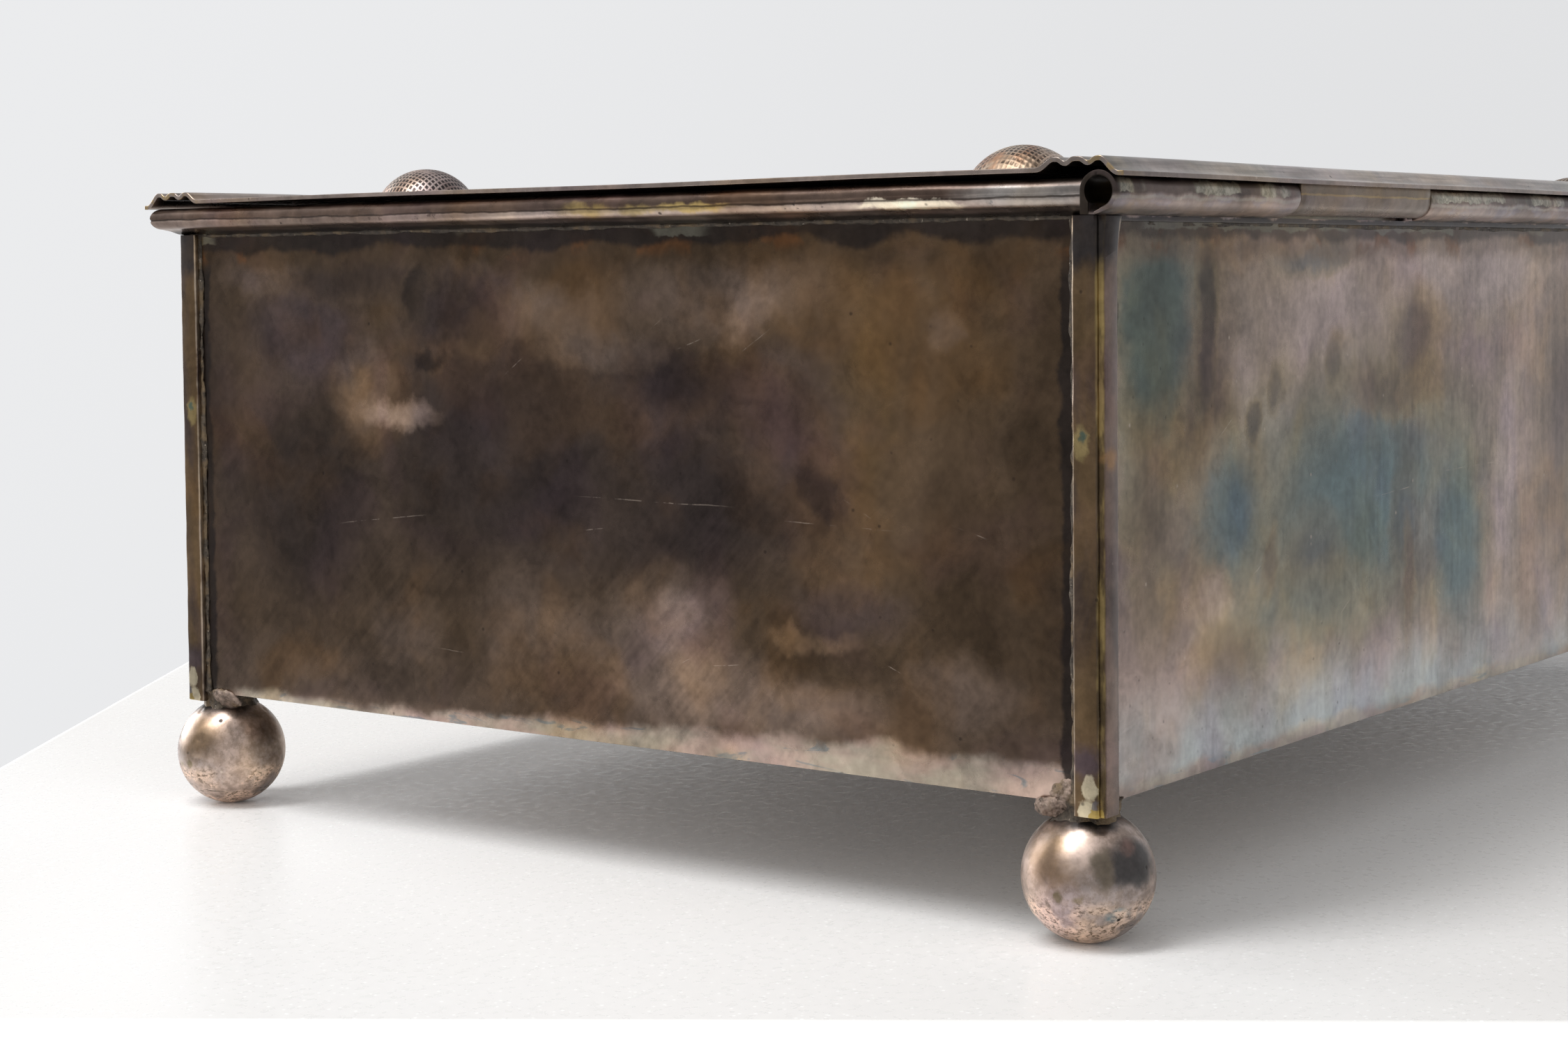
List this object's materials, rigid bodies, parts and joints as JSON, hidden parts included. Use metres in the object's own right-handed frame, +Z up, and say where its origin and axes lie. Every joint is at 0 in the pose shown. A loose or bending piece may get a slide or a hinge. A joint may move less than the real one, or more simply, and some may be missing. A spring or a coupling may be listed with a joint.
{
  "type": "silverware chest",
  "caption": "Oblong sheet-metal silverware chest on ball feet, with corner mouldings, a rolled rim, and a hinged lid with a reeded border and domed bosses.",
  "frame": {"origin": "on the surface that the chest stands on, under the centre of the closed chest's outline", "axes": "+Z up; X along the chest; +Y towards the hinged back, -Y towards the opening front; the picture shows the +X end and the +Y back"},
  "size_m": [0.3932, 0.2595, 0.1485],
  "materials": {
    "plated_sheet": "silver plate on brass, tarnished brown and mauve, semi-gloss, fine scratches",
    "plated_trim": "silver plate on brass, tarnished, with worn brass edges",
    "plated_foot": "polished silver plate on brass, lightly pitted",
    "plated_boss": "cross-hatched silver plate on brass, dark in the cuts",
    "bare_brass": "drawn brass, satin",
    "lining_cloth": "dark blue baize",
    "covered_board": "thin board covered in dark blue baize"
  },
  "bodies": {
    "chest": {"bottom_plate": "plated_sheet", "front_panel": "plated_sheet", "back_panel": "plated_sheet", "left_panel": "plated_sheet", "right_panel": "plated_sheet", "corner_moulding_front_left": "plated_trim", "corner_moulding_front_right": "plated_trim", "corner_moulding_back_left": "plated_trim", "corner_moulding_back_right": "plated_trim", "foot_front_left": "plated_foot", "foot_front_right": "plated_foot", "foot_back_left": "plated_foot", "foot_back_right": "plated_foot", "rim_bead_front": "plated_trim", "rim_bead_left": "plated_trim", "rim_bead_right": "plated_trim", "hinge_leaf": "plated_trim", "hinge_pin": "bare_brass", "floor_pad": "lining_cloth", "lining_front": "lining_cloth", "lining_back": "lining_cloth", "lining_left": "lining_cloth", "lining_right": "lining_cloth", "cross_divider": "covered_board", "long_dividers": "covered_board"},
    "lid": {"lid_sheet": "plated_sheet", "lid_knuckle_left": "plated_trim", "lid_knuckle_right": "plated_trim", "lid_boss_front_left": "plated_boss", "lid_boss_front_right": "plated_boss", "lid_boss_back_left": "plated_boss", "lid_boss_back_right": "plated_boss"}
  },
  "joints": [
    {"name": "lid_hinge", "type": "hinge", "parent": "chest", "child": "lid", "pos_m": [0, 0.1246, 0.13744], "axis": [-1, 0, 0], "range_deg": [0, 130]}
  ]
}
